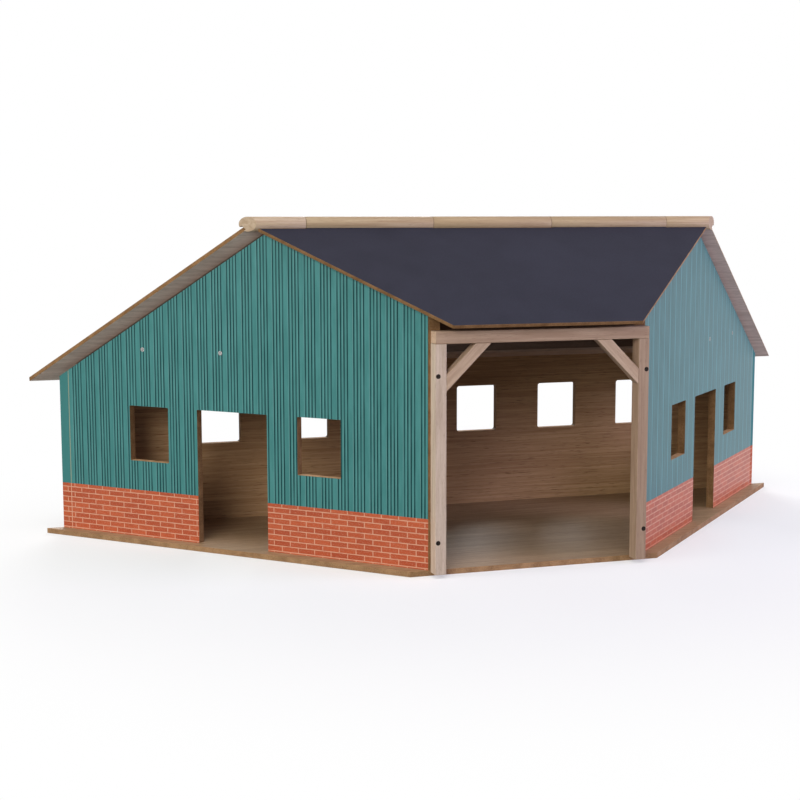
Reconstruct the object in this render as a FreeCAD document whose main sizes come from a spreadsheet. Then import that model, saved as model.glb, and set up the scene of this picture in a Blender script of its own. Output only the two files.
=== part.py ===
import FreeCAD, Part
import os
import re
import Sketcher

# Toy shed that fits a room's corner. X runs along the ridge, Y from the doorway to the back wall and
# Z up. Formulas count y from the gable walls' front ends and z from the top of the base plate.
SIZES = (
    ("gable_turn", 45, "angle of each gable wall to the shed's depth"),
    ("front_half_width", 123.5, "half the width over the gable walls' front corners"),
    ("shed_depth", 336, "gable walls' front ends to the back wall"),
    ("board_thickness", 9, "wall boards"),
    ("base_thickness", 6, "base plate"),
    ("base_margin", 14, "base plate beyond the gable walls, square to them"),
    ("ridge_setback", 142, "ridge axis behind the gable walls' front ends"),
    ("ridge_height", 361, "ridge axis above the base plate"),
    ("ridge_diameter", 16, "ridge pole"),
    ("front_pitch", 30.6, "front leaf to the level"),
    ("rear_pitch", 39.25, "rear leaf to the level"),
    ("front_leaf_thickness", 4, "front leaf's board"),
    ("rear_leaf_thickness", 5.5, "rear leaf's board"),
    ("front_top_drop", 0.5, "front leaf's top below the ridge axis"),
    ("rear_top_rise", 2.2, "rear leaf's top above the ridge axis"),
    ("roof_batten_thickness", 6.7, "space between the walls and the rear leaf, square to it"),
    ("front_overhang", 30, "front leaf beyond the gable walls' front ends"),
    ("rear_overhang", 21, "rear leaf beyond the back wall"),
    ("side_overhang", 9, "roof beyond the gable walls, square to them"),
    ("pole_overrun", 3, "ridge pole's ends beyond the leaves' sides, along the ridge"),
    ("rafter_width", 12, "rafters, square to the gable walls"),
    ("rafter_lap", 8, "rafters below the gable walls' tops, square to the slope"),
    ("eave_batten_depth", 16, "eave batten, front to back"),
    ("inner_joint_share", 0.2563, "ridge joints nearest the middle, of half the ridge"),
    ("outer_joint_share", 0.7835, "ridge joints nearest the ends, of half the ridge"),
    ("knuckle_gap", 0.6, "play between neighbouring knuckles, along the ridge"),
    ("knuckle_clearance", 0.6, "space around a knuckle in the other leaf"),
    ("slot_floor", 5, "ridge axis to the floor of a knuckle's slot"),
    ("slot_clearance", 0.05, "glue space on each face of a leaf in its slot"),
    ("pin_diameter", 4, "ridge pins"),
    ("pin_length", 40, "ridge pins"),
    ("pin_running_clearance", 0.05, "radial, in the front leaf's knuckles"),
    ("pin_press_clearance", 0.02, "radial, in the rear leaf's knuckles"),
    ("pin_end_clearance", 0.5, "past each end of a pin"),
    ("door_share", 0.5145, "middle of the side door, of the gable wall's length"),
    ("door_width", 93, "side door"),
    ("near_window_share", 0.2772, "middle of the first gable window, of the gable wall's length"),
    ("far_window_share", 0.7538, "middle of the second gable window, of the gable wall's length"),
    ("window_width", 54.4, "gable windows"),
    ("window_height", 64, "gable windows"),
    ("window_head_drop", 36.6, "heads of windows and side doors below the back wall's top"),
    ("gable_corner_radius", 1, "corners of gable windows and side doors"),
    ("back_window_count", 6, "windows in the back wall"),
    ("back_window_share", 0.1222, "pitch of the back windows, of the back wall's width"),
    ("back_window_width", 54, "back windows"),
    ("back_window_height", 58.6, "back windows"),
    ("back_corner_radius", 3, "corners of the back windows"),
    ("frame_width", 12, "door frame and tie beam strip, narrow side"),
    ("frame_depth", 16, "door frame and tie beam strip, broad side"),
    ("post_inset", 2.6, "posts inside the gable walls' front corners"),
    ("post_foot_drop", 2, "posts' feet below the base plate's top"),
    ("lintel_gap", 10.2, "lintel's front edge below the front leaf"),
    ("lintel_height", 13.2, "lintel"),
    ("brace_leg", 32, "upper edge of a knee brace, along post and lintel"),
    ("brace_depth", 12, "knee braces, front to back"),
    ("tie_rise", 28.9, "middle of the tie beams above the back wall's top"),
    ("front_tie_share", 0.543, "front tie beam's screws, of the gable wall's length"),
    ("rear_tie_share", 0.7681, "rear tie beam's screws, of the gable wall's length"),
    ("corner_batten_leg", 24, "corner batten, along the back wall"),
    ("corner_batten_drop", 39.6, "corner battens' tops below the back wall's top"),
    ("screw_diameter", 3, "all screws"),
    ("screw_clearance", 0.05, "radial, around the screws"),
    ("screw_tip", 3, "pointed end of a screw"),
    ("screw_head_diameter", 5, "countersunk heads"),
    ("screw_head_angle", 90, "countersunk heads"),
    ("recess_span", 2.6, "cross recess in a screw head"),
    ("recess_width", 0.7, "cross recess in a screw head"),
    ("recess_depth", 0.9, "cross recess in a screw head"),
    ("gable_screw_bite", 8, "gable screws, in the tie beams"),
    ("post_screw_bite", 5, "post screws, in the gable walls"),
    ("base_screw_bite", 14, "base screws, in the walls"),
    ("post_screw_inset", 5.6, "post screws inside the gable walls' front corners"),
    ("upper_post_screw_drop", 33, "below the lintel"),
    ("lower_post_screw", 32, "above the base plate"),
    ("near_base_share", 0.1684, "first base screw in a gable wall, of the wall's length"),
    ("far_base_share", 0.8102, "second base screw in a gable wall, of the wall's length"),
    ("back_base_share", 0.653, "outer base screws in the back wall, of half its width"),
    ("overrun", 1, "cuts past the faces they open"),
)

# Sizes that follow from those above.
DERIVED = {
    "half_depth": "(shed_depth + board_thickness) / 2",
    "back_face": "shed_depth + board_thickness",
    "wall_run": "shed_depth / cos(gable_turn)",
    "front_under_drop": "(front_top_drop + front_leaf_thickness) / cos(front_pitch)",
    "rear_under_drop": "(rear_leaf_thickness - rear_top_rise) / cos(rear_pitch)",
    "rear_wall_drop": "rear_under_drop + roof_batten_thickness / cos(rear_pitch)",
    "back_height": "ridge_height - rear_wall_drop - (shed_depth - ridge_setback) * tan(rear_pitch)",
    "back_half_width": "front_half_width + shed_depth * tan(gable_turn)",
    "peak": "ridge_setback + (front_under_drop - rear_wall_drop) / (tan(front_pitch) + tan(rear_pitch))",
    "ridge_radius": "ridge_diameter / 2",
    "ridge_end": "front_half_width + ridge_setback * tan(gable_turn) + side_overhang / cos(gable_turn)",
    "rafter_drop": "rear_wall_drop + rafter_lap / cos(rear_pitch)",
    "rafter_flat": "ridge_height - ridge_radius - knuckle_clearance",
    "rafter_shoulder":
        "ridge_setback + (ridge_radius + knuckle_clearance - rear_under_drop) / tan(rear_pitch)",
    "rafter_stop": "back_face - eave_batten_depth",
    "inner_joint": "ridge_end * inner_joint_share",
    "outer_joint": "ridge_end * outer_joint_share",
    "window_head": "back_height - window_head_drop",
    "window_sill": "window_head - window_height",
    "back_window_sill": "window_head - back_window_height",
    "door_start": "wall_run * door_share - door_width / 2",
    "near_window_start": "wall_run * near_window_share - window_width / 2",
    "far_window_start": "wall_run * far_window_share - window_width / 2",
    "back_window_pitch": "2 * back_half_width * back_window_share",
    "tie_level": "back_height + tie_rise",
    "front_tie_station": "wall_run * front_tie_share",
    "rear_tie_station": "wall_run * rear_tie_share",
    "near_base_screw": "wall_run * near_base_share",
    "far_base_screw": "wall_run * far_base_share",
    "back_base_screw": "back_half_width * back_base_share",
    "frame_front_under": "ridge_height - front_under_drop - (ridge_setback + frame_depth) * tan(front_pitch)",
    "lintel_underside": "frame_front_under - lintel_gap - lintel_height",
    "upper_post_screw": "lintel_underside - upper_post_screw_drop",
    "post_centre": "front_half_width - post_inset - frame_width / 2",
    "brace_foot": "post_centre - frame_width / 2",
    "brace_low_leg": "brace_leg + frame_width * sqrt(2)",
    "corner_x": "back_half_width - board_thickness / cos(gable_turn)",
    "corner_batten_height": "back_height - corner_batten_drop",
    "hole_radius": "screw_diameter / 2 + screw_clearance",
    "head_depth": "(screw_head_diameter - screw_diameter) / 2 / tan(screw_head_angle / 2)",
}

doc = FreeCAD.newDocument("toy_shed")
sheet = doc.addObject("Spreadsheet::Sheet", "dims")
for row, (alias, value, note) in enumerate(SIZES, 1):
    sheet.set(f"A{row}", note)
    sheet.set(f"B{row}", str(value))
    sheet.setAlias(f"B{row}", alias)
doc.recompute()
ALIASES = {alias for alias, value, note in SIZES}
ALONG_X = FreeCAD.Vector(1, 0, 0)
ALONG_Y = FreeCAD.Vector(0, 1, 0)
ALONG_Z = FreeCAD.Vector(0, 0, 1)
LEFT = -1
RIGHT = 1
PARALLEL_LEEWAY = 1e-6


def formula(text):
    def spelled(match):
        word = match.group(0)
        if word in DERIVED:
            return "(" + formula(DERIVED[word]) + ")"
        return "dims." + word if word in ALIASES else word
    return re.sub(r"[a-z_]+", spelled, text)


def amount(text):
    return float(sheet.evalExpression(formula(text)))


def bind(thing, prop, text):
    thing.setExpression(prop, formula(text))


def front_under(y):
    return f"(ridge_height - front_under_drop + ({y} - ridge_setback) * tan(front_pitch))"


def rear_under(y):
    return f"(ridge_height - rear_under_drop - ({y} - ridge_setback) * tan(rear_pitch))"


def rear_wall_top(y):
    return f"(ridge_height - rear_wall_drop - ({y} - ridge_setback) * tan(rear_pitch))"


def rafter_under(y):
    return f"(ridge_height - rafter_drop - ({y} - ridge_setback) * tan(rear_pitch))"


def gable_x(y, inward="0"):
    return f"(front_half_width + ({y}) * tan(gable_turn) - {inward} / cos(gable_turn))"


def tie_y(station):
    return f"({station} * cos(gable_turn) + board_thickness * sin(gable_turn))"


def turned(thing, prop, axis, angle):
    setattr(thing, prop, FreeCAD.Placement(FreeCAD.Vector(), FreeCAD.Rotation(axis, amount(angle))))
    bind(thing, prop + ".Rotation.Angle", angle)


def new_body(label, x="0", y="0", z="0", axis=None, angle=None):
    body = doc.addObject("PartDesign::Body", label)
    body.Label = label
    if axis is not None:
        turned(body, "Placement", axis, angle)
    bind(body, "Placement.Base.x", x)
    bind(body, "Placement.Base.y", f"{y} - half_depth")
    bind(body, "Placement.Base.z", f"{z} + base_thickness")
    return body


def plane_sketch(body, name, role, offset="0"):
    sketch = body.newObject("Sketcher::SketchObject", name)
    plane = next(item for item in body.Origin.OriginFeatures if item.Role == role)
    sketch.AttachmentSupport = [(plane, "")]
    sketch.MapMode = "FlatFace"
    bind(sketch, "AttachmentOffset.Base.z", offset)
    return sketch


# A sketch in the plane of a gable wall's outer face: x along the wall, y up.
def gable_sketch(body, name, side, x="0"):
    sketch = plane_sketch(body, name, "XZ_Plane")
    turned(sketch, "AttachmentOffset", ALONG_Y, f"90 - {side} * gable_turn")
    bind(sketch, "AttachmentOffset.Base.x", x)
    return sketch


def pin_point(sketch, curve, point, x, y):
    for kind, text, zero_line in (("DistanceX", x, -2), ("DistanceY", y, -1)):
        if text == "0":
            sketch.addConstraint(Sketcher.Constraint("PointOnObject", curve, point, zero_line))
            continue
        index = sketch.addConstraint(Sketcher.Constraint(kind, -1, 1, curve, point, amount(text)))
        sketch.renameConstraint(index, f"{kind}_{curve}")
        bind(sketch, f"Constraints.{kind}_{curve}", text)


def polygon(sketch, corners):
    first = sketch.GeometryCount
    spots = [FreeCAD.Vector(amount(x), amount(y), 0) for x, y in corners]
    for spot, following in zip(spots, spots[1:] + spots[:1]):
        sketch.addGeometry(Part.LineSegment(spot, following))
    for index in range(len(spots)):
        following = first + (index + 1) % len(spots)
        sketch.addConstraint(Sketcher.Constraint("Coincident", first + index, 2, following, 1))
    for index, (x, y) in enumerate(corners):
        pin_point(sketch, first + index, 1, x, y)


def rectangle(sketch, left, right, bottom, top):
    polygon(sketch, ((left, bottom), (right, bottom), (right, top), (left, top)))


def circle(sketch, x, y, radius):
    centre = FreeCAD.Vector(amount(x), amount(y), 0)
    curve = sketch.addGeometry(Part.Circle(centre, ALONG_Z, amount(radius)))
    pin_point(sketch, curve, 3, x, y)
    index = sketch.addConstraint(Sketcher.Constraint("Radius", curve, amount(radius)))
    sketch.renameConstraint(index, f"Radius_{curve}")
    bind(sketch, f"Constraints.Radius_{curve}", radius)


def pad(body, sketch, name, length, both_ways=False):
    feature = body.newObject("PartDesign::Pad", name)
    feature.Profile = sketch
    feature.SideType = "Symmetric" if both_ways else "One side"
    bind(feature, "Length", length)
    return feature


# Pads a gable sketch inward, parallel to the ridge. The thickness is measured square to the wall.
def gable_pad(body, sketch, name, thickness, side):
    feature = pad(body, sketch, name, thickness)
    feature.UseCustomVector = True
    feature.Direction = ALONG_X * -side
    feature.AlongSketchNormal = True
    return feature


def pocket(body, sketch, name, depth=None, flipped=False):
    feature = body.newObject("PartDesign::Pocket", name)
    feature.Profile = sketch
    if depth is None:
        feature.Type = "ThroughAll"
        feature.SideType = "Symmetric"
    else:
        feature.Reversed = flipped
        bind(feature, "Length", depth)
    return feature


def countersunk(body, sketch, name, flipped=False):
    doc.recompute()
    feature = body.newObject("PartDesign::Hole", name)
    feature.Profile = sketch
    feature.DepthType = "ThroughAll"
    feature.Reversed = flipped
    feature.HoleCutType = "Countersink"
    bind(feature, "Diameter", "2 * hole_radius")
    bind(feature, "HoleCutDiameter", "screw_head_diameter")
    bind(feature, "HoleCutCountersinkAngle", "screw_head_angle")
    return feature


# Rounds the corners of openings: the edges that run through the board, above the side door's foot.
def rounded(body, feature, name, direction, radius):
    doc.recompute()
    edges = []
    for index, edge in enumerate(feature.Shape.Edges, 1):
        run = edge.lastVertex().Point - edge.firstVertex().Point
        across = run.cross(direction).Length < run.Length * PARALLEL_LEEWAY
        if across and edge.CenterOfMass.z > amount("window_sill") / 2:
            edges.append(f"Edge{index}")
    fillet = body.newObject("PartDesign::Fillet", name)
    fillet.Base = (feature, edges)
    bind(fillet, "Radius", radius)


# Cuts the ends of a piece that lies along X, where line(y) is the half length at y. The tilt levels the
# cut in a body that lies on the rear slope.
def mitred(body, name, line, low, high, sides=(LEFT, RIGHT), tilt="0"):
    sketch = plane_sketch(body, name + "_plan", "XY_Plane")
    turned(sketch, "AttachmentOffset", ALONG_X, tilt)
    for side in sides:
        inner = f"{side} * {line(low)}"
        outer = f"{side} * {line(high)}"
        polygon(sketch, ((inner, low), (outer, low), (outer, high)))
    pocket(body, sketch, name)


def group(label, members):
    compound = doc.addObject("Part::Compound", label)
    compound.Label = label
    compound.Links = members


# Base plate, with the countersunk holes of the base screws.
def gable_base_site(side, station):
    x = f"{side} * (front_half_width + {station} * sin(gable_turn) - board_thickness / 2 * cos(gable_turn))"
    y = f"({station} * cos(gable_turn) + board_thickness / 2 * sin(gable_turn))"
    return x, y


base_sites = [gable_base_site(side, station)
              for side in (LEFT, RIGHT) for station in ("near_base_screw", "far_base_screw")]
base_sites += [(x, "shed_depth + board_thickness / 2") for x in ("-back_base_screw", "0", "back_base_screw")]
base = new_body("base_plate", z="-base_thickness")
plan = plane_sketch(base, "base_plan", "XY_Plane")
polygon(plan, (("-" + gable_x("0", "-base_margin"), "0"), (gable_x("0", "-base_margin"), "0"),
               (gable_x("back_face", "-base_margin"), "back_face"),
               ("-" + gable_x("back_face", "-base_margin"), "back_face")))
pad(base, plan, "base_board", "base_thickness")
holes = plane_sketch(base, "base_holes", "XY_Plane")
for x, y in base_sites:
    circle(holes, x, y, "hole_radius")
countersunk(base, holes, "base_countersinks", flipped=True)


# Gable walls: ends cut parallel to the ridge, openings square through the board.
def gable_wall(label, side):
    body = new_body(label, x=f"{side} * front_half_width")
    profile = gable_sketch(body, label + "_profile", side)
    polygon(profile, (("0", "0"), ("wall_run", "0"), ("wall_run", rear_wall_top("shed_depth")),
                      ("peak / cos(gable_turn)", front_under("peak")), ("0", front_under("0"))))
    gable_pad(body, profile, label + "_board", "board_thickness", side)
    openings = gable_sketch(body, label + "_openings", side)
    rectangle(openings, "door_start", "door_start + door_width", "-overrun", "window_head")
    for start in ("near_window_start", "far_window_start"):
        rectangle(openings, start, start + " + window_width", "window_sill", "window_head")
    cut = pocket(body, openings, label + "_cut_openings")
    turn = FreeCAD.Rotation(ALONG_Z, side * amount("90 - gable_turn"))
    rounded(body, cut, label + "_corners", turn.multVec(ALONG_Y), "gable_corner_radius")
    tie_holes = gable_sketch(body, label + "_tie_holes", side)
    for station in ("front_tie_station", "rear_tie_station"):
        circle(tie_holes, station, "tie_level", "hole_radius")
    countersunk(body, tie_holes, label + "_drill_ties", flipped=side == LEFT)
    post_holes = plane_sketch(body, label + "_post_holes", "XZ_Plane")
    for level in ("upper_post_screw", "lower_post_screw"):
        circle(post_holes, f"{-side} * post_screw_inset", level, "hole_radius")
    pocket(body, post_holes, label + "_drill_front", "post_screw_bite + screw_clearance")
    base_holes = plane_sketch(body, label + "_base_holes", "XY_Plane")
    for station in ("near_base_screw", "far_base_screw"):
        x, y = gable_base_site(side, station)
        circle(base_holes, f"{x} - {side} * front_half_width", y, "hole_radius")
    pocket(body, base_holes, label + "_drill_foot", "base_screw_bite + screw_clearance", flipped=True)


gable_wall("left_gable_wall", LEFT)
gable_wall("right_gable_wall", RIGHT)

# Back wall, its ends flush with the gable walls' outer faces.
wall = new_body("back_wall", y="shed_depth")
profile = plane_sketch(wall, "back_profile", "YZ_Plane")
polygon(profile, (("0", "0"), ("board_thickness", "0"), ("board_thickness", rear_wall_top("back_face")),
                  ("0", rear_wall_top("shed_depth"))))
pad(wall, profile, "back_board", "2 * " + gable_x("back_face"), both_ways=True)
mitred(wall, "back_mitres", lambda y: gable_x(f"shed_depth + {y}"), "-overrun", "board_thickness + overrun")
first_window = plane_sketch(wall, "back_window", "XZ_Plane")
first_middle = "-back_window_pitch * (back_window_count - 1) / 2"
rectangle(first_window, f"{first_middle} - back_window_width / 2", f"{first_middle} + back_window_width / 2",
          "back_window_sill", "window_head")
cut = pocket(wall, first_window, "back_cut_window")
windows = wall.newObject("PartDesign::LinearPattern", "back_windows")
windows.Originals = [cut]
windows.Direction = (next(item for item in wall.Origin.OriginFeatures if item.Role == "X_Axis"), [""])
bind(windows, "Length", "back_window_pitch * (back_window_count - 1)")
bind(windows, "Occurrences", "back_window_count")
wall.Tip = windows
rounded(wall, windows, "back_corners", ALONG_Y, "back_corner_radius")
holes = plane_sketch(wall, "back_base_holes", "XY_Plane")
for x in ("-back_base_screw", "0", "back_base_screw"):
    circle(holes, x, "board_thickness / 2", "hole_radius")
pocket(wall, holes, "back_drill_foot", "base_screw_bite + screw_clearance", flipped=True)


# Battens in the sharp rear corners.
def corner_batten(label, side):
    body = new_body(label, x=f"{side} * corner_x", y="shed_depth")
    triangle = plane_sketch(body, label + "_plan", "XY_Plane")
    polygon(triangle, (("0", "0"), (f"{-side} * corner_batten_leg", "0"),
                       (f"{-side} * corner_batten_leg", "-corner_batten_leg / tan(gable_turn)")))
    pad(body, triangle, label + "_block", "corner_batten_height")


corner_batten("left_corner_batten", LEFT)
corner_batten("right_corner_batten", RIGHT)


# Door frame: posts, a lintel over them and knee braces.
def door_post(label, side):
    body = new_body(label, x=f"{side} * post_centre", z="-post_foot_drop")
    face = plane_sketch(body, label + "_face", "XZ_Plane")
    rectangle(face, "-frame_width / 2", "frame_width / 2", "0", "lintel_underside + post_foot_drop")
    pad(body, face, label + "_strip", "frame_depth")
    holes = plane_sketch(body, label + "_holes", "XZ_Plane", "frame_depth")
    for level in ("upper_post_screw", "lower_post_screw"):
        x = f"{side} * (front_half_width - post_screw_inset - post_centre)"
        circle(holes, x, level + " + post_foot_drop", "hole_radius")
    countersunk(body, holes, label + "_countersinks")


def knee_brace(label, side):
    body = new_body(label, x=f"{side} * brace_foot", y="(brace_depth - frame_depth)", z="lintel_underside")
    face = plane_sketch(body, label + "_face", "XZ_Plane")
    polygon(face, (("0", "-brace_low_leg"), ("0", "-brace_leg"), (f"{-side} * brace_leg", "0"),
                   (f"{-side} * brace_low_leg", "0")))
    pad(body, face, label + "_strip", "brace_depth")


door_post("left_door_post", LEFT)
door_post("right_door_post", RIGHT)
lintel = new_body("door_lintel", z="lintel_underside")
face = plane_sketch(lintel, "lintel_face", "XZ_Plane")
rectangle(face, "-(post_centre + frame_width / 2)", "post_centre + frame_width / 2", "0", "lintel_height")
pad(lintel, face, "lintel_strip", "frame_depth")
knee_brace("left_knee_brace", LEFT)
knee_brace("right_knee_brace", RIGHT)


# Tie beams between the gable walls, with a hole for a gable screw in each end.
def tie_beam(label, station):
    body = new_body(label, y=tie_y(station), z="tie_level")
    plan = plane_sketch(body, label + "_plan", "XY_Plane", "-frame_width / 2")
    front = gable_x(f"{tie_y(station)} - frame_depth / 2", "board_thickness")
    rear = gable_x(f"{tie_y(station)} + frame_depth / 2", "board_thickness")
    polygon(plan, (("-" + front, "-frame_depth / 2"), (front, "-frame_depth / 2"),
                   (rear, "frame_depth / 2"), ("-" + rear, "frame_depth / 2")))
    pad(body, plan, label + "_strip", "frame_width")
    for side in (LEFT, RIGHT):
        x = f"{side} * {gable_x(tie_y(station), 'board_thickness')}"
        end = gable_sketch(body, f"{label}_end", side, x)
        circle(end, "0", "0", "hole_radius")
        pocket(body, end, f"{label}_drill", "gable_screw_bite + screw_clearance", flipped=side == LEFT)


tie_beam("front_tie_beam", "front_tie_station")
tie_beam("rear_tie_beam", "rear_tie_station")


# Rafters on the gable walls' inner faces and a batten on the back wall carry the rear leaf.
def rafter(label, side):
    body = new_body(label, x=f"{side} * " + gable_x("0", "board_thickness"))
    profile = gable_sketch(body, label + "_profile", side)
    corners = (("ridge_setback", rafter_under("ridge_setback")),
               ("rafter_stop", rafter_under("rafter_stop")),
               ("rafter_stop", rear_under("rafter_stop")),
               ("rafter_shoulder", "rafter_flat"), ("ridge_setback", "rafter_flat"))
    polygon(profile, [(f"({y}) / cos(gable_turn)", z) for y, z in corners])
    gable_pad(body, profile, label + "_strip", "rafter_width", side)


rafter("left_rafter", LEFT)
rafter("right_rafter", RIGHT)
eave = new_body("eave_batten", y="(rafter_stop)")
profile = plane_sketch(eave, "eave_profile", "YZ_Plane")
polygon(profile, (("0", rear_wall_top("(rafter_stop)")), ("eave_batten_depth", rear_wall_top("back_face")),
                  ("eave_batten_depth", rear_under("back_face")), ("0", rear_under("(rafter_stop)"))))
pad(eave, profile, "eave_strip", "2 * " + gable_x("back_face", "board_thickness"), both_ways=True)
mitred(eave, "eave_mitres", lambda y: gable_x(f"rafter_stop + {y}", "board_thickness"), "-overrun",
       "eave_batten_depth + overrun")

# Roof leaves, each in its own frame on the ridge axis: y along the slope, z square to the leaf.
LEAVES = {
    "rear": {"side": 1, "pitch": "rear_pitch", "thickness": "rear_leaf_thickness",
             "under": "rear_top_rise - rear_leaf_thickness",
             "reach": "(back_face + rear_overhang - ridge_setback) / cos(rear_pitch)",
             "bore": "pin_diameter / 2 + pin_press_clearance"},
    "front": {"side": -1, "pitch": "front_pitch", "thickness": "front_leaf_thickness",
              "under": "-front_top_drop - front_leaf_thickness",
              "reach": "(ridge_setback + front_overhang) / cos(front_pitch)",
              "bore": "pin_diameter / 2 + pin_running_clearance"},
}


def leaf_body(label, leaf):
    axis = ALONG_X * -leaf["side"]
    return new_body(label, y="ridge_setback", z="ridge_height", axis=axis, angle=leaf["pitch"])


def leaf_end(leaf):
    return lambda y: f"(ridge_end + ({y}) * cos({leaf['pitch']}) * tan(gable_turn))"


# A leaf's edge has tabs in its own knuckles and stands clear of the other leaf's knuckles.
def roof_panel(label, leaf):
    body = leaf_body(label, leaf)
    end = leaf_end(leaf)
    side = leaf["side"]
    tab = f"{side} * slot_floor"
    recess = f"{side} * (ridge_radius + knuckle_clearance)"
    eave_line = f"{side} * {leaf['reach']}"
    inner = f"inner_joint - {side} * knuckle_gap / 2"
    outer = f"outer_joint + {side} * knuckle_gap / 2"
    near, away = (tab, recess) if side == 1 else (recess, tab)
    half = [(inner, near), (inner, away), (outer, away), (outer, near), (end(near), near),
            (end(eave_line), eave_line)]
    outline = plane_sketch(body, label + "_outline", "XY_Plane", leaf["under"])
    polygon(outline, half + [(f"-({x})", y) for x, y in reversed(half)])
    pad(body, outline, label + "_board", leaf["thickness"])


def pole_end(y):
    return f"(ridge_end + pole_overrun + ({y}) * tan(gable_turn))"


def ridge_knuckle(label, leaf, start, finish, bores, mitred_side=None):
    body = leaf_body(label, leaf)
    section = plane_sketch(body, label + "_section", "YZ_Plane", start)
    circle(section, "0", "0", "ridge_radius")
    pad(body, section, label + "_pole", f"({finish}) - ({start})")
    slot = plane_sketch(body, label + "_slot", "YZ_Plane")
    floor = f"{leaf['side']} * slot_floor"
    mouth = f"{leaf['side']} * (ridge_radius + overrun)"
    rectangle(slot, floor, mouth, f"{leaf['under']} - slot_clearance",
              f"{leaf['under']} + {leaf['thickness']} + slot_clearance")
    pocket(body, slot, label + "_cut_slot")
    for mouth_x, inward in bores:
        bore = plane_sketch(body, label + "_bore", "YZ_Plane", mouth_x)
        circle(bore, "0", "0", leaf["bore"])
        depth = "pin_length / 2 + pin_end_clearance"
        pocket(body, bore, label + "_drill", depth, flipped=inward == 1)
    if mitred_side is not None:
        mitred(body, label + "_mitre", pole_end, "-(ridge_radius + overrun)", "(ridge_radius + overrun)",
               (mitred_side,), leaf["pitch"])


rear = LEAVES["rear"]
front = LEAVES["front"]
roof_panel("rear_roof_panel", rear)
roof_panel("front_roof_panel", front)
inner_low = "inner_joint - knuckle_gap / 2"
inner_high = "inner_joint + knuckle_gap / 2"
outer_low = "outer_joint - knuckle_gap / 2"
outer_high = "outer_joint + knuckle_gap / 2"
pole_tip = pole_end("ridge_radius")
ridge_knuckle("ridge_knuckle_1", rear, f"-{pole_tip}", f"-({outer_high})", [(f"-({outer_high})", -1)], LEFT)
ridge_knuckle("ridge_knuckle_2", front, f"-({outer_low})", f"-({inner_high})",
              [(f"-({outer_low})", 1), (f"-({inner_high})", -1)])
ridge_knuckle("ridge_knuckle_3", rear, f"-({inner_low})", inner_low,
              [(f"-({inner_low})", 1), (inner_low, -1)])
ridge_knuckle("ridge_knuckle_4", front, inner_high, outer_low, [(inner_high, 1), (outer_low, -1)])
ridge_knuckle("ridge_knuckle_5", rear, outer_high, pole_tip, [(outer_high, 1)], RIGHT)

# Ridge pins, one across each joint of the ridge pole.
pins = []
for index, joint in enumerate(("-outer_joint", "-inner_joint", "inner_joint", "outer_joint"), 1):
    pin = new_body(f"ridge_pin_{index}", joint, "ridge_setback", "ridge_height")
    section = plane_sketch(pin, f"ridge_pin_{index}_section", "YZ_Plane")
    circle(section, "0", "0", "pin_diameter / 2")
    pad(pin, section, f"ridge_pin_{index}_rod", "pin_length", both_ways=True)
    pins.append(pin)
group("ridge_pins", pins)


# Screws point along their own +Y, with the top of the countersunk head at y = 0.
def screw(label, length, x, y, z, axis=None, angle=None):
    body = new_body(label, x, y, z, axis, angle)
    profile = plane_sketch(body, label + "_profile", "XY_Plane")
    polygon(profile, (("0", "0"), ("screw_head_diameter / 2", "0"), ("screw_diameter / 2", "head_depth"),
                      ("screw_diameter / 2", f"{length} - screw_tip"), ("0", length)))
    turning = body.newObject("PartDesign::Revolution", label + "_turning")
    turning.Profile = profile
    turning.ReferenceAxis = (profile, ["V_Axis"])
    recess = plane_sketch(body, label + "_recess", "XZ_Plane")
    arm = "recess_span / 2"
    edge = "recess_width / 2"
    quarter = ((arm, edge), (edge, edge), (edge, arm))
    corners = list(quarter) + [(f"-({x})", z) for x, z in reversed(quarter)]
    polygon(recess, corners + [(x, f"-({z})") for x, z in reversed(corners)])
    pocket(body, recess, label + "_cross", "recess_depth")
    return body


screws = []
for side in (LEFT, RIGHT):
    for station in ("front_tie_station", "rear_tie_station"):
        x = f"{side} * (front_half_width + {station} * sin(gable_turn))"
        screws.append(screw(f"gable_screw_{len(screws) + 1}", "(board_thickness + gable_screw_bite)", x,
                            f"{station} * cos(gable_turn)", "tie_level", ALONG_Z * side, "90 - gable_turn"))
group("gable_screws", screws)
screws = []
for side in (LEFT, RIGHT):
    for level in ("upper_post_screw", "lower_post_screw"):
        x = f"{side} * (front_half_width - post_screw_inset)"
        screws.append(screw(f"post_screw_{len(screws) + 1}", "(frame_depth + post_screw_bite)", x,
                            "-frame_depth", level))
group("post_screws", screws)
screws = []
for x, y in base_sites:
    screws.append(screw(f"base_screw_{len(screws) + 1}", "(base_thickness + base_screw_bite)", x, y,
                        "-base_thickness", ALONG_X, "90"))
group("base_screws", screws)

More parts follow.
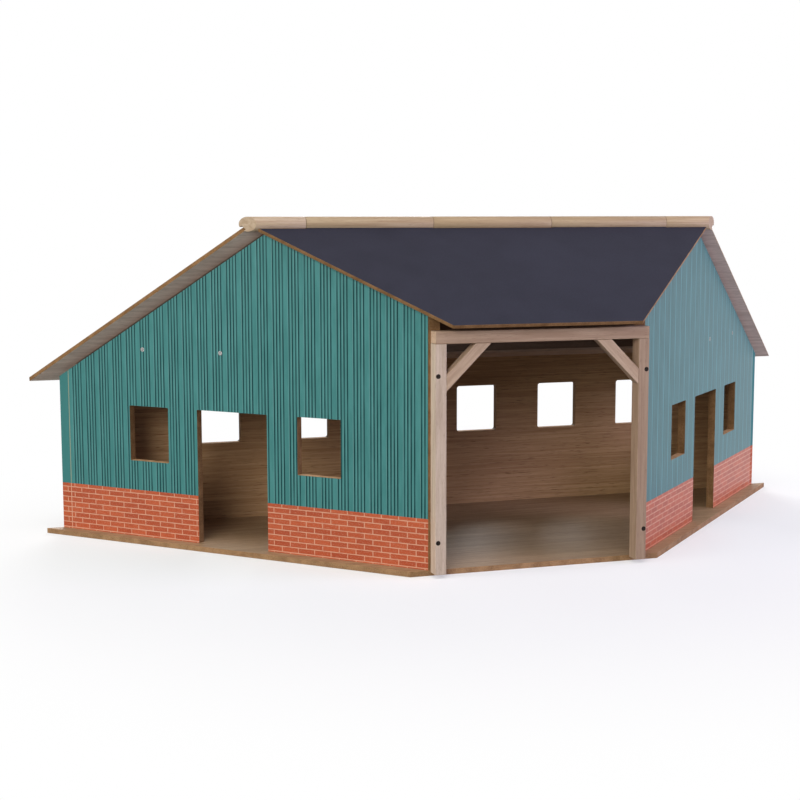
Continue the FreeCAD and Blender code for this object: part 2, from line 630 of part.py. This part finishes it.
NODES = (
    "base_plate", "left_gable_wall", "right_gable_wall", "back_wall", "left_corner_batten",
    "right_corner_batten", "left_door_post", "right_door_post", "door_lintel", "left_knee_brace",
    "right_knee_brace", "front_tie_beam", "rear_tie_beam", "left_rafter", "right_rafter", "eave_batten",
    "rear_roof_panel", "front_roof_panel", "ridge_knuckle_1", "ridge_knuckle_2", "ridge_knuckle_3",
    "ridge_knuckle_4", "ridge_knuckle_5", "ridge_pins", "gable_screws", "post_screws", "base_screws",
)
doc.recompute()
faults = [thing.Name for thing in doc.Objects if "Invalid" in thing.State or "Error" in thing.State]
nodes = {label: doc.getObjectsByLabel(label)[0] for label in NODES}
faults += [label for label, node in nodes.items() if node.Shape.isNull() or not node.Shape.isValid()]
if faults:
    raise RuntimeError("not built: " + ", ".join(faults))
os.makedirs("parts", exist_ok=True)
for label, node in nodes.items():
    node.Shape.exportStep(f"parts/{label}.step")
    box = node.Shape.BoundBox
    print(f"{label}: {len(node.Shape.Solids)} solid, {node.Shape.Volume:.0f} mm3,"
          f" x {box.XMin:.1f} {box.XMax:.1f}, y {box.YMin:.1f} {box.YMax:.1f},"
          f" z {box.ZMin:.1f} {box.ZMax:.1f}")
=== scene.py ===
import math

import bpy
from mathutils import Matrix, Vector


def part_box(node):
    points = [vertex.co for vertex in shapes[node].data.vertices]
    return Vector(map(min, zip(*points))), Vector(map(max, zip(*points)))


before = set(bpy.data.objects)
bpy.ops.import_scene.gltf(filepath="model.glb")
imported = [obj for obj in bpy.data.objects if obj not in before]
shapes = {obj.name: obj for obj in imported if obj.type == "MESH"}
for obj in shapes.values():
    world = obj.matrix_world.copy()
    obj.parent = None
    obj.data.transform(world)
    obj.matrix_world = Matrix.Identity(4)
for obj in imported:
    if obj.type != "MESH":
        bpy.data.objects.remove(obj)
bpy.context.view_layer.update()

# places shared by the finishes, in metres
wallLow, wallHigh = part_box("right_gable_wall")
frontY = wallLow[1]                                         # front end of the gable walls
cornerX = wallHigh[0] - (wallHigh[1] - wallLow[1])          # their outer front corner: they run at 45 degrees
wallRun = (wallHigh[1] - wallLow[1]) * math.sqrt(2)         # length of a gable wall
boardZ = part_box("base_plate")[1][2]                         # top of the base board

# directions, and the cosine from which a face counts as facing one
alongX = (1, 0, 0)
alongY = (0, 1, 0)
alongZ = (0, 0, 1)
diagonal = math.sqrt(0.5)
squareOn = 0.95


# colours and nodes

def paint(red, green, blue):
    # a screen colour, 0 to 255, as the linear colour that a socket takes
    parts = []
    for level in (red / 255, green / 255, blue / 255):
        parts.append(level / 12.92 if level <= 0.04045 else ((level + 0.055) / 1.055) ** 2.4)
    return (*parts, 1.0)


def feed(tree, socket, value):
    if isinstance(value, bpy.types.NodeSocket):
        tree.links.new(value, socket)
    else:
        socket.default_value = value


def addNode(tree, kind, inputs=(), **settings):
    node = tree.nodes.new(kind)
    for name, value in settings.items():
        setattr(node, name, value)
    for name, value in dict(inputs).items():
        feed(tree, node.inputs[name], value)
    return node


def calc(tree, operation, first, second=0.0):
    return addNode(tree, "ShaderNodeMath", {0: first, 1: second}, operation=operation).outputs[0]


def plus(tree, first, second):
    return calc(tree, "ADD", first, second)


def minus(tree, first, second):
    return calc(tree, "SUBTRACT", first, second)


def times(tree, first, second):
    return calc(tree, "MULTIPLY", first, second)


def mixColors(tree, share, first, second, mode="MIX"):
    node = addNode(tree, "ShaderNodeMix", data_type="RGBA", blend_type=mode)
    for index, value in ((0, share), (6, first), (7, second)):
        feed(tree, node.inputs[index], value)
    return node.outputs[2]


def tinted(tree, color, tone):
    return mixColors(tree, 1.0, color, tone, "MULTIPLY")


def fade(tree, value, low, high, start=0.0, end=1.0):
    # a soft step: start below low, end above high
    node = addNode(tree, "ShaderNodeMapRange", interpolation_type="SMOOTHSTEP")
    for index, entry in enumerate((value, low, high, start, end)):
        feed(tree, node.inputs[index], entry)
    return node.outputs[0]


def along(tree, vector, direction):
    node = addNode(tree, "ShaderNodeVectorMath", {0: vector, 1: direction}, operation="DOT_PRODUCT")
    return node.outputs["Value"]


def combine(tree, x, y, z):
    return addNode(tree, "ShaderNodeCombineXYZ", {0: x, 1: y, 2: z}).outputs[0]


def noise(tree, place, size, detail=2.0, roughness=0.5, distortion=0.0):
    # size is how far one patch of the noise reaches along each axis of the place
    spread = addNode(tree, "ShaderNodeVectorMath", {0: place, 1: size}, operation="DIVIDE").outputs[0]
    inputs = {"Vector": spread, "Scale": 1.0, "Detail": detail, "Roughness": roughness,
              "Distortion": distortion}
    return addNode(tree, "ShaderNodeTexNoise", inputs).outputs[0]


def startFinish(name):
    finish = bpy.data.materials.new(name)
    finish.use_nodes = True
    tree = finish.node_tree
    spots = addNode(tree, "ShaderNodeTexCoord")
    return finish, tree, tree.nodes["Principled BSDF"], spots.outputs["Object"], spots.outputs["Normal"]


def endFinish(tree, shader, color, rough, height, depth, gloss=1.4):
    feed(tree, shader.inputs["Base Color"], color)
    feed(tree, shader.inputs["Roughness"], rough)
    shader.inputs["IOR"].default_value = gloss
    bump = addNode(tree, "ShaderNodeBump", {"Strength": 1.0, "Distance": depth, "Height": height})
    feed(tree, shader.inputs["Normal"], bump.outputs[0])


# wood: how figure, fibres and pores are drawn in every kind of it

woodGrain = {"figureNoise": (4.0, 0.6, 0.9), "figureFade": (0.3, 0.7), "fibreNoise": (3.0, 0.6),
             "fibreFade": (0.35, 0.7), "poreNoise": (1.0,), "poreFade": 0.14,
             "roughSwing": 0.14, "roughDrop": 0.05, "sideFrom": 0.9}


def grainPlace(tree, point, grain, side):
    # the point, measured along the grain, across it and through the board
    grain = Vector(grain).normalized()
    side = Vector(side).normalized()
    through = grain.cross(side)
    return combine(tree, along(tree, point, grain), along(tree, point, side), along(tree, point, through))


def woodLook(tree, place, wood):
    # returns colour and relief of a wood: broad figure, fine fibres and short dark pores
    marks = {}
    for mark in ("figure", "fibre", "pore"):
        length, width = wood[mark]
        marks[mark] = noise(tree, place, (length, width, width), *woodGrain[mark + "Noise"])
    pore = fade(tree, marks["pore"], wood["poreStart"], wood["poreStart"] + woodGrain["poreFade"])
    broad = fade(tree, marks["figure"], *woodGrain["figureFade"])
    fine = fade(tree, marks["fibre"], *woodGrain["fibreFade"], 0.0, wood["streak"])
    color = mixColors(tree, broad, wood["dark"], wood["pale"])
    color = mixColors(tree, fine, color, wood["dark"])
    color = mixColors(tree, times(tree, pore, wood["poreShade"]), color, wood["deep"])
    return color, minus(tree, marks["fibre"], pore)


def toned(wood, red, green, blue):
    # the same wood with its colours times the three factors
    stick = dict(wood)
    for shade in ("pale", "dark", "deep"):
        stick[shade] = tuple(part * factor for part, factor in zip(wood[shade], (red, green, blue, 1.0)))
    return stick


def woodFinish(name, wood, grain, side, litSideTone=1.0):
    # the side factor makes the faces to the left and right paler than the front: painted light on the sides
    finish, tree, shader, point, normal = startFinish(name)
    color, relief = woodLook(tree, grainPlace(tree, point, grain, side), wood)
    if litSideTone > 1.0:
        sideways = calc(tree, "ABSOLUTE", along(tree, normal, alongX))
        paler = tinted(tree, color, (litSideTone, litSideTone, litSideTone, 1.0))
        color = mixColors(tree, calc(tree, "GREATER_THAN", sideways, woodGrain["sideFrom"]), color, paler)
    rough = plus(tree, times(tree, relief, woodGrain["roughSwing"]), wood["rough"] - woodGrain["roughDrop"])
    endFinish(tree, shader, color, rough, relief, wood["relief"])
    return finish


# cut edge of the boards: brown fibre board, speckled

boardEdge = {"brown": paint(146, 112, 76), "dark": paint(110, 80, 50), "paleTone": (2.3, 2.5, 2.9, 1.0),
             "speck": 0.0011, "speckNoise": (3.0, 0.7), "speckShare": 0.6,
             "patch": 0.012, "patchNoise": (2.0,), "patchShare": 0.4, "fade": (0.35, 0.65), "rough": 0.8}


def edgeLook(tree, point, paleShare):
    # returns colour and specks; paleShare is how far a cut face goes to the paler tone, which on the window
    # sills is painted light from above
    speck = noise(tree, point, (boardEdge["speck"],) * 3, *boardEdge["speckNoise"])
    patch = noise(tree, point, (boardEdge["patch"],) * 3, *boardEdge["patchNoise"])
    shade = plus(tree, times(tree, speck, boardEdge["speckShare"]),
                 times(tree, patch, boardEdge["patchShare"]))
    color = mixColors(tree, fade(tree, shade, *boardEdge["fade"]), boardEdge["dark"], boardEdge["brown"])
    return mixColors(tree, paleShare, color, tinted(tree, color, boardEdge["paleTone"])), speck


# printed boards: corrugated sheet over a brick plinth outside, brown wood inside

sheetPrint = {"teal": paint(73, 136, 134), "shade": paint(63, 124, 122), "line": paint(0, 50, 51),
              "glint": paint(108, 160, 160), "pitch": 0.004, "lines": 4, "group": 0.020, "start": 0.014,
              "rise": (0.0005, 0.0014), "fall": (0.0023, 0.0028), "glintFrom": 0.0031, "glintHalf": 0.0006,
              "wander": (0.0037, 0.07, 1.0), "wanderNoise": (2.0,), "lineFade": (0.25, 0.6, 0.6, 1.0),
              "glintFade": (0.3, 0.7, 0.15, 0.85), "cloud": (0.008, 0.05, 1.0), "cloudNoise": (3.0, 0.6),
              "cloudFade": (0.3, 0.7), "seam": 0.0010, "seamColor": paint(150, 156, 132)}
brickPrint = {"red": paint(190, 91, 56), "deep": paint(166, 72, 44), "mortar": paint(215, 165, 137),
              "length": 0.0207, "course": 0.0061, "joint": 0.0014, "jointBlur": 0.6, "bias": -0.2, "bond": 0.5,
              "top": 0.0546, "bed": 0.0504, "phase": 0.0037, "unit": 0.05,
              "grit": (0.0022, 0.0014, 1.0), "gritNoise": (3.0, 0.7), "gritFade": (0.45, 0.8, 0.0, 0.4),
              "smudge": (0.011, 0.002, 1.0), "smudgeNoise": (2.0,), "smudgeFade": (0.45, 0.75, 0.0, 0.5)}
insideWood = {"pale": paint(186, 152, 112), "dark": paint(154, 119, 84), "deep": paint(103, 74, 50),
              "figure": (0.20, 0.0042), "fibre": (0.05, 0.0010), "pore": (0.016, 0.0008),
              "poreStart": 0.6, "poreShade": 0.7, "streak": 0.6}
printBoard = {"outsideRough": 0.33, "insideRough": 0.5, "relief": 0.00012, "gloss": 1.27, "peel": 0.0016,
              "peelNoise": (2.0,), "peelRough": 0.1, "peelRelief": 0.12, "sillFrom": 0.9, "mitreLeeway": 0.03}


def sheetLook(tree, run, height):
    # ribs in groups of four, each shaded up to a dark line with a glint behind it, then a flat
    group = calc(tree, "FLOORED_MODULO", minus(tree, run, sheetPrint["start"]), sheetPrint["group"])
    ribbed = calc(tree, "LESS_THAN", group, sheetPrint["pitch"] * sheetPrint["lines"])
    cell = calc(tree, "FLOORED_MODULO", group, sheetPrint["pitch"])
    line = times(tree, fade(tree, cell, *sheetPrint["rise"]), fade(tree, cell, *sheetPrint["fall"], 1.0, 0.0))
    behind = calc(tree, "ABSOLUTE", minus(tree, cell, sheetPrint["glintFrom"]))
    glint = fade(tree, behind, 0.0, sheetPrint["glintHalf"], 1.0, 0.0)
    flat = combine(tree, run, height, 0.0)
    wander = noise(tree, flat, sheetPrint["wander"], *sheetPrint["wanderNoise"])
    line = times(tree, times(tree, line, ribbed), fade(tree, wander, *sheetPrint["lineFade"]))
    glint = times(tree, times(tree, glint, ribbed), fade(tree, wander, *sheetPrint["glintFade"]))
    cloudy = noise(tree, flat, sheetPrint["cloud"], *sheetPrint["cloudNoise"])
    clouded = fade(tree, cloudy, *sheetPrint["cloudFade"])
    color = mixColors(tree, clouded, sheetPrint["shade"], sheetPrint["teal"])
    color = mixColors(tree, glint, color, sheetPrint["glint"])
    return mixColors(tree, line, color, sheetPrint["line"])


def brickLook(tree, run, height):
    unit = brickPrint["unit"]
    place = combine(tree, calc(tree, "DIVIDE", minus(tree, run, brickPrint["phase"]), unit),
                    calc(tree, "DIVIDE", minus(tree, height, brickPrint["bed"]), unit), 0.0)
    bricks = addNode(tree, "ShaderNodeTexBrick", {
        "Vector": place, "Color1": brickPrint["red"], "Color2": brickPrint["deep"],
        "Mortar": brickPrint["mortar"], "Scale": 1.0, "Mortar Size": brickPrint["joint"] / 2 / unit,
        "Mortar Smooth": brickPrint["jointBlur"], "Bias": brickPrint["bias"],
        "Brick Width": brickPrint["length"] / unit, "Row Height": brickPrint["course"] / unit},
        offset=brickPrint["bond"])
    flat = combine(tree, run, height, 0.0)
    grit = noise(tree, flat, brickPrint["grit"], *brickPrint["gritNoise"])
    smudge = noise(tree, flat, brickPrint["smudge"], *brickPrint["smudgeNoise"])
    smudged = fade(tree, smudge, *brickPrint["smudgeFade"])
    color = mixColors(tree, smudged, bricks.outputs[0], brickPrint["deep"])
    return mixColors(tree, fade(tree, grit, *brickPrint["gritFade"]), color, brickPrint["mortar"])


def printedFinish(name, run, outward, endStrips=False):
    finish, tree, shader, point, normal = startFinish(name)
    distance = plus(tree, along(tree, point, run["direction"]), run["start"])
    height = minus(tree, along(tree, point, alongZ), boardZ)
    facing = along(tree, normal, outward)
    outside = calc(tree, "GREATER_THAN", facing, squareOn)
    inside = calc(tree, "LESS_THAN", facing, -squareOn)
    brickZone = calc(tree, "LESS_THAN", height, brickPrint["top"])
    sheet = sheetLook(tree, distance, height)
    bricks = brickLook(tree, distance, height)
    # the upward cut faces, the window sills, are painted paler: painted light from above
    litSill = calc(tree, "GREATER_THAN", along(tree, normal, alongZ), printBoard["sillFrom"])
    edge, speck = edgeLook(tree, point, litSill)
    if endStrips:
        # the mitred ends, flush with the gable walls, carry bricks under a plain strip of the sheet's colour
        sideways = calc(tree, "ABSOLUTE", along(tree, normal, alongX))
        strip = times(tree, calc(tree, "GREATER_THAN", sideways, diagonal - printBoard["mitreLeeway"]),
                      calc(tree, "LESS_THAN", sideways, diagonal + printBoard["mitreLeeway"]))
        outwards = calc(tree, "ABSOLUTE", along(tree, point, alongX))
        stripRun = plus(tree, times(tree, outwards, diagonal), along(tree, point, (0, diagonal, 0)))
        stripRun = minus(tree, stripRun, (cornerX + frontY) * diagonal)
        bare = mixColors(tree, brickZone, sheetPrint["shade"], brickLook(tree, stripRun, height))
        edge = mixColors(tree, strip, edge, bare)
    else:
        # the print stops just short of the wall's rear end and leaves a pale line
        seam = calc(tree, "GREATER_THAN", distance, wallRun - sheetPrint["seam"])
        sheet = mixColors(tree, seam, sheet, sheetPrint["seamColor"])
        bricks = mixColors(tree, seam, bricks, brickPrint["mortar"])
    wood, relief = woodLook(tree, grainPlace(tree, point, run["direction"], alongZ), insideWood)
    color = mixColors(tree, inside, edge, wood)
    color = mixColors(tree, outside, color, mixColors(tree, brickZone, sheet, bricks))
    peel = noise(tree, point, (printBoard["peel"],) * 3, *printBoard["peelNoise"])
    rough = plus(tree, times(tree, outside, printBoard["outsideRough"] - boardEdge["rough"]),
                 times(tree, inside, printBoard["insideRough"] - boardEdge["rough"]))
    rough = plus(tree, rough, boardEdge["rough"] - printBoard["peelRough"] / 2)
    rough = plus(tree, rough, times(tree, peel, printBoard["peelRough"]))
    relief = times(tree, plus(tree, relief, speck), minus(tree, 1.0, outside))
    relief = plus(tree, times(tree, peel, times(tree, outside, printBoard["peelRelief"])), relief)
    endFinish(tree, shader, color, rough, relief, printBoard["relief"], printBoard["gloss"])
    return finish


# plain sanded strips of the door frame, the beams and the battens, each with its own tone factors

stripWood = {"pale": paint(206, 187, 170), "dark": paint(178, 156, 138), "deep": paint(136, 110, 90),
             "figure": (0.10, 0.0055), "fibre": (0.03, 0.0009), "pore": (0.007, 0.0006),
             "poreStart": 0.62, "poreShade": 0.5, "streak": 0.45, "rough": 0.55, "relief": 0.00014}
# the tie tone darkens the tie beams as painted shade, and the two side factors make the sides of the posts and
# the lintel paler as painted light
stripTones = {"left": (0.97, 0.98, 0.95), "right": (0.65, 0.575, 0.49), "brace": (0.84, 0.77, 0.67),
              "lintel": (0.70, 0.61, 0.52), "tie": (0.32, 0.28, 0.26), "postLitSide": 1.3, "lintelLitSide": 1.8}

# rafters and the underside of the roof: grey-brown wood

rafterWood = {"pale": paint(214, 198, 185), "dark": paint(186, 169, 156), "deep": paint(140, 121, 107),
              "figure": (0.09, 0.006), "fibre": (0.03, 0.0010), "pore": (0.009, 0.0007),
              "poreStart": 0.6, "poreShade": 0.5, "streak": 0.5, "rough": 0.6, "relief": 0.00012}

# ridge pole: round sanded lengths, each from its own stick with its grain a little askew

ridgeWood = {"pale": paint(199, 178, 152), "dark": paint(173, 148, 120), "deep": paint(140, 110, 82),
             "figure": (0.12, 0.005), "fibre": (0.03, 0.0009), "pore": (0.008, 0.0006),
             "poreStart": 0.62, "poreShade": 0.5, "streak": 0.45, "rough": 0.55, "relief": 0.00012,
             "askew": 0.004}
ridgeTones = ((0.96, 0.97, 0.97), (0.81, 0.79, 0.71), (0.80, 0.77, 0.67), (0.80, 0.78, 0.70),
              (0.90, 0.88, 0.82))

# roof leaves: satin anthracite above, wood below, bare brown edge

# the underside tone factors darken the leaves' undersides under the roof: painted shade
roofSheet = {"dark": paint(36, 36, 47), "pale": paint(44, 44, 56), "grit": 0.0013, "gritNoise": (3.0, 0.6),
             "gritShare": 0.6, "cloud": 0.05, "cloudNoise": (3.0,), "cloudShare": 0.4, "fade": (0.35, 0.65),
             "rough": 0.62, "gritRough": 0.12, "gritRelief": 0.5, "relief": 0.00006, "gloss": 1.22,
             "insideShadeTone": (0.26, 0.22, 0.20, 1.0), "frontShadeTone": (0.50, 0.45, 0.41), "wall": 0.009,
             "blend": 0.003, "endFrom": 0.5, "endPale": 0.6}


def topNormal(shape):
    return max((face for face in shape.data.polygons if face.normal.z > 0), key=lambda face: face.area).normal


def roofFinish(name, shape, underWood, shaded):
    finish, tree, shader, point, normal = startFinish(name)
    facing = along(tree, normal, topNormal(shape))
    above = calc(tree, "GREATER_THAN", facing, squareOn)
    below = calc(tree, "LESS_THAN", facing, -squareOn)
    grit = noise(tree, point, (roofSheet["grit"],) * 3, *roofSheet["gritNoise"])
    cloud = noise(tree, point, (roofSheet["cloud"],) * 3, *roofSheet["cloudNoise"])
    shade = plus(tree, times(tree, grit, roofSheet["gritShare"]),
                 times(tree, cloud, roofSheet["cloudShare"]))
    dark = mixColors(tree, fade(tree, shade, *roofSheet["fade"]), roofSheet["dark"], roofSheet["pale"])
    wood, relief = woodLook(tree, grainPlace(tree, point, alongX, alongY), underWood)
    if shaded:
        # between the walls the underside is painted darker than along the overhang: painted shade where the
        # roof covers the inside
        outwards = calc(tree, "ABSOLUTE", along(tree, point, alongX))
        beyond = times(tree, minus(tree, outwards, along(tree, point, alongY)), diagonal)
        beyond = minus(tree, beyond, (cornerX - frontY) * diagonal - roofSheet["wall"])
        behind = minus(tree, along(tree, point, alongY), wallHigh[1])
        shadeInside = fade(tree, calc(tree, "MAXIMUM", beyond, behind), 0.0, roofSheet["blend"], 1.0, 0.0)
        wood = mixColors(tree, shadeInside, wood, tinted(tree, wood, roofSheet["insideShadeTone"]))
    rightEnd = calc(tree, "GREATER_THAN", along(tree, normal, alongX), roofSheet["endFrom"])
    edge = edgeLook(tree, point, times(tree, rightEnd, roofSheet["endPale"]))[0]
    color = mixColors(tree, above, mixColors(tree, below, edge, wood), dark)
    rough = plus(tree, times(tree, above, roofSheet["rough"] - boardEdge["rough"]),
                 times(tree, grit, roofSheet["gritRough"]))
    rough = plus(tree, rough, boardEdge["rough"] - roofSheet["gritRough"] / 2)
    height = plus(tree, times(tree, grit, roofSheet["gritRelief"]),
                  times(tree, relief, minus(tree, 1.0, above)))
    endFinish(tree, shader, color, rough, height, roofSheet["relief"], roofSheet["gloss"])
    return finish


# base board: brown wood look on top, bare edge

baseWood = {"pale": paint(174, 145, 111), "dark": paint(145, 116, 85), "deep": paint(101, 76, 53),
            "figure": (0.20, 0.006), "fibre": (0.05, 0.0012), "pore": (0.016, 0.0009),
            "poreStart": 0.6, "poreShade": 0.6, "streak": 0.55, "rough": 0.52, "relief": 0.00012,
            "edgePale": 0.37, "speckRough": 0.1}


def baseFinish(name):
    finish, tree, shader, point, normal = startFinish(name)
    top = calc(tree, "GREATER_THAN", along(tree, normal, alongZ), squareOn)
    wood, relief = woodLook(tree, grainPlace(tree, point, alongX, alongY), baseWood)
    edge, speck = edgeLook(tree, point, baseWood["edgePale"])
    rough = plus(tree, times(tree, top, baseWood["rough"] - boardEdge["rough"]),
                 times(tree, speck, baseWood["speckRough"]))
    rough = plus(tree, rough, boardEdge["rough"] - baseWood["speckRough"] / 2)
    endFinish(tree, shader, mixColors(tree, top, edge, wood), rough, plus(tree, relief, speck),
              baseWood["relief"])
    return finish


# steel of the screws and pins

# the steel's colour swings at random from near-black to bright: partly scuffs, partly painted highlight and
# painted shade on the small heads
steelScuffAndSheen = {"size": (0.0012, 0.0012, 0.0003), "noise": (3.0, 0.7), "fade": (0.35, 0.65), "rough": 0.2,
              "relief": 0.00002}
brightSteel = {"pale": paint(212, 210, 208), "dark": paint(58, 52, 52), "rough": 0.3}
darkSteel = {"pale": paint(62, 54, 50), "dark": paint(34, 30, 29), "rough": 0.38}


def steelFinish(name, steel):
    finish, tree, shader, point, normal = startFinish(name)
    scuffAndSheen = noise(tree, point, steelScuffAndSheen["size"], *steelScuffAndSheen["noise"])
    color = mixColors(tree, fade(tree, scuffAndSheen, *steelScuffAndSheen["fade"]), steel["dark"], steel["pale"])
    rough = plus(tree, times(tree, scuffAndSheen, steelScuffAndSheen["rough"]), steel["rough"] - steelScuffAndSheen["rough"] / 2)
    shader.inputs["Metallic"].default_value = 1.0
    endFinish(tree, shader, color, rough, scuffAndSheen, steelScuffAndSheen["relief"])
    return finish


# dressing the nodes

edgeEase = {"strip": 0.0009, "board": 0.0003, "dowel": 0.0006, "from": 60, "segments": 2, "weld": 0.00001}


def dress(node, finish, ease=0.0):
    shape = shapes[node]
    if not shape.material_slots:
        shape.data.materials.append(finish)
    for slot in shape.material_slots:
        slot.material = finish
    if ease:
        weld = shape.modifiers.new("closedEdges", "WELD")
        weld.merge_threshold = edgeEase["weld"]
        bevel = shape.modifiers.new("easedEdges", "BEVEL")
        bevel.width = ease
        bevel.segments = edgeEase["segments"]
        bevel.limit_method = "ANGLE"
        bevel.angle_limit = math.radians(edgeEase["from"])
        bevel.harden_normals = True


def stripFinish(name, tone, grain, side, litSideTone=1.0):
    return woodFinish(name, toned(stripWood, *stripTones[tone]), grain, side, litSideTone)


rearNormal = topNormal(shapes["rear_roof_panel"])
for name, side in (("left", -1), ("right", 1)):
    outward = (side * diagonal, -diagonal, 0)
    run = {"direction": (side * diagonal, diagonal, 0), "start": -(cornerX + frontY) * diagonal}
    dress(f"{name}_gable_wall", printedFinish(f"{name}GablePrint", run, outward))
    slope = (side * diagonal, diagonal, -diagonal * rearNormal.y / rearNormal.z)
    dress(f"{name}_rafter", woodFinish(f"{name}RafterWood", rafterWood, slope, outward), edgeEase["strip"])
    upright = stripFinish(f"{name}PostWood", name, alongZ, alongX, stripTones["postLitSide"])
    dress(f"{name}_door_post", upright, edgeEase["strip"])
    dress(f"{name}_corner_batten", upright, edgeEase["strip"])
    brace = stripFinish(f"{name}BraceWood", "brace", (-side, 0, 1), alongY)
    dress(f"{name}_knee_brace", brace, edgeEase["strip"])
dress("back_wall", printedFinish("backPrint", {"direction": alongX, "start": 0.0}, alongY, True))
lintelWood = stripFinish("lintelWood", "lintel", alongX, alongY, stripTones["lintelLitSide"])
dress("door_lintel", lintelWood, edgeEase["strip"])
# the tie beams are darkened nearly to black-brown: painted shade between the walls
tieShadedWood = stripFinish("tieShadedWood", "tie", alongX, alongY)
for node in ("front_tie_beam", "rear_tie_beam"):
    dress(node, tieShadedWood, edgeEase["strip"])
dress("eave_batten", woodFinish("eaveWood", stripWood, alongX, alongY), edgeEase["strip"])
# the front leaf's underside is the rafter wood darkened to about half: painted shade, between the lit overhang
# and the shaded inside of the rear leaf
shadedFrontUnderside = toned(rafterWood, *roofSheet["frontShadeTone"])
for node, underWood, shaded in (("front_roof_panel", shadedFrontUnderside, False),
                                ("rear_roof_panel", rafterWood, True)):
    dress(node, roofFinish(node + "Sheet", shapes[node], underWood, shaded), edgeEase["board"])
for number, tone in enumerate(ridgeTones, 1):
    grain = (1, ridgeWood["askew"] * number, 0)
    ridge = woodFinish(f"ridgeWood{number}", toned(ridgeWood, *tone), grain, alongY)
    dress(f"ridge_knuckle_{number}", ridge, edgeEase["dowel"])
dress("base_plate", baseFinish("baseBoard"), edgeEase["board"])
for node in ("gable_screws", "base_screws", "ridge_pins"):
    dress(node, steelFinish(node + "Steel", brightSteel))
dress("post_screws", steelFinish("postScrewSteel", darkSteel))
print("dressed:", len(bpy.data.materials), "finishes")


# floor, light and camera

studio = {"floorSize": 12.0, "floorColor": paint(252, 252, 252), "floorRough": 0.9,
          "bounceColor": paint(144, 144, 144), "clear": (0.3, 0.8), "clearLeast": 0.35, "white": (1, 1, 1, 1),
          "ambient": 0.04, "aim": (0.0, 0.0, 0.15)}
lamps = {
    "keyLamp": {"place": (-3.10, -4.12, 1.86), "size": 3.0, "power": 163.0, "color": (1.0, 0.98, 0.95)},
    "leftLamp": {"place": (-2.37, -0.42, 1.12), "size": 1.6, "power": 19.0, "color": (1.0, 0.98, 0.96)},
    "rightLamp": {"place": (2.10, -1.12, 0.72), "size": 1.3, "power": 46.0, "color": (0.77, 0.70, 1.0)},
    "topLamp": {"place": (-0.3, -0.8, 2.7), "size": 1.6, "power": 28.0, "color": (1.0, 1.0, 1.0)},
    "backLamp": {"place": (0.3, 1.9, 0.95), "size": 1.2, "power": 30.0, "color": (1.0, 1.0, 1.0)},
}
photoCamera = {"place": (-0.6058, -1.5990, 0.3704), "turn": (83.026, 0.121, -17.586), "lens": 65.99,
               "sensor": 36.0}


def backgroundRays(tree):
    # 1 for rays that should see the white background: camera, mirror and see-through rays
    path = addNode(tree, "ShaderNodeLightPath")
    seen = calc(tree, "MAXIMUM", path.outputs["Is Camera Ray"], path.outputs["Is Glossy Ray"])
    return calc(tree, "MAXIMUM", seen, path.outputs["Is Transmission Ray"])


def makeFloor():
    bpy.ops.mesh.primitive_plane_add(size=studio["floorSize"], location=(0, 0, 0))
    floor = bpy.context.object
    floor.name = "studioFloor"
    finish, tree, shader, point, normal = startFinish("paleFloor")
    shader.inputs["Base Color"].default_value = studio["floorColor"]
    shader.inputs["Roughness"].default_value = studio["floorRough"]
    shader.inputs["Specular IOR Level"].default_value = 0.0
    # the floor throws less light back up than it shows, so that the inside of the shed stays dark
    dim = addNode(tree, "ShaderNodeBsdfDiffuse", {"Color": studio["bounceColor"]})
    seen = backgroundRays(tree)
    plain = addNode(tree, "ShaderNodeMixShader", {0: seen, 1: dim.outputs[0], 2: shader.outputs[0]})
    # away from the shed the floor clears to white, and near it keeps the shadow
    length = addNode(tree, "ShaderNodeVectorMath", {0: point}, operation="LENGTH").outputs["Value"]
    clear = times(tree, fade(tree, length, *studio["clear"], studio["clearLeast"]), seen)
    glow = addNode(tree, "ShaderNodeEmission", {"Color": studio["white"], "Strength": 1.0})
    mix = addNode(tree, "ShaderNodeMixShader", {0: clear, 1: plain.outputs[0], 2: glow.outputs[0]})
    tree.links.new(mix.outputs[0], tree.nodes["Material Output"].inputs["Surface"])
    floor.data.materials.append(finish)


def makeWorld():
    world = bpy.data.worlds.new("studioWorld")
    world.use_nodes = True
    tree = world.node_tree
    soft = tree.nodes["Background"]
    soft.inputs["Color"].default_value = studio["white"]
    soft.inputs["Strength"].default_value = studio["ambient"]
    white = addNode(tree, "ShaderNodeBackground", {"Color": studio["white"], "Strength": 1.0})
    seen = backgroundRays(tree)
    mix = addNode(tree, "ShaderNodeMixShader", {0: seen, 1: soft.outputs[0], 2: white.outputs[0]})
    tree.links.new(mix.outputs[0], tree.nodes["World Output"].inputs["Surface"])
    bpy.context.scene.world = world


def makeLamp(name, lamp):
    light = bpy.data.lights.new(name, "AREA")
    light.shape = "DISK"
    light.size = lamp["size"]
    light.energy = lamp["power"]
    light.color = lamp["color"]
    holder = bpy.data.objects.new(name, light)
    holder.location = lamp["place"]
    aim = Vector(studio["aim"]) - Vector(lamp["place"])
    holder.rotation_euler = aim.to_track_quat("-Z", "Y").to_euler()
    holder.visible_camera = False
    bpy.context.scene.collection.objects.link(holder)


def makeCamera():
    camera = bpy.data.cameras.new("photoCamera")
    camera.lens = photoCamera["lens"]
    camera.sensor_width = photoCamera["sensor"]
    holder = bpy.data.objects.new("photoCamera", camera)
    holder.location = photoCamera["place"]
    holder.rotation_euler = [math.radians(angle) for angle in photoCamera["turn"]]
    bpy.context.scene.collection.objects.link(holder)
    bpy.context.scene.camera = holder


makeFloor()
makeWorld()
for name, lamp in lamps.items():
    makeLamp(name, lamp)
makeCamera()
bpy.context.scene.view_settings.view_transform = "Standard"
print("studio:", len(lamps), "lamps")

bpy.context.view_layer.update()
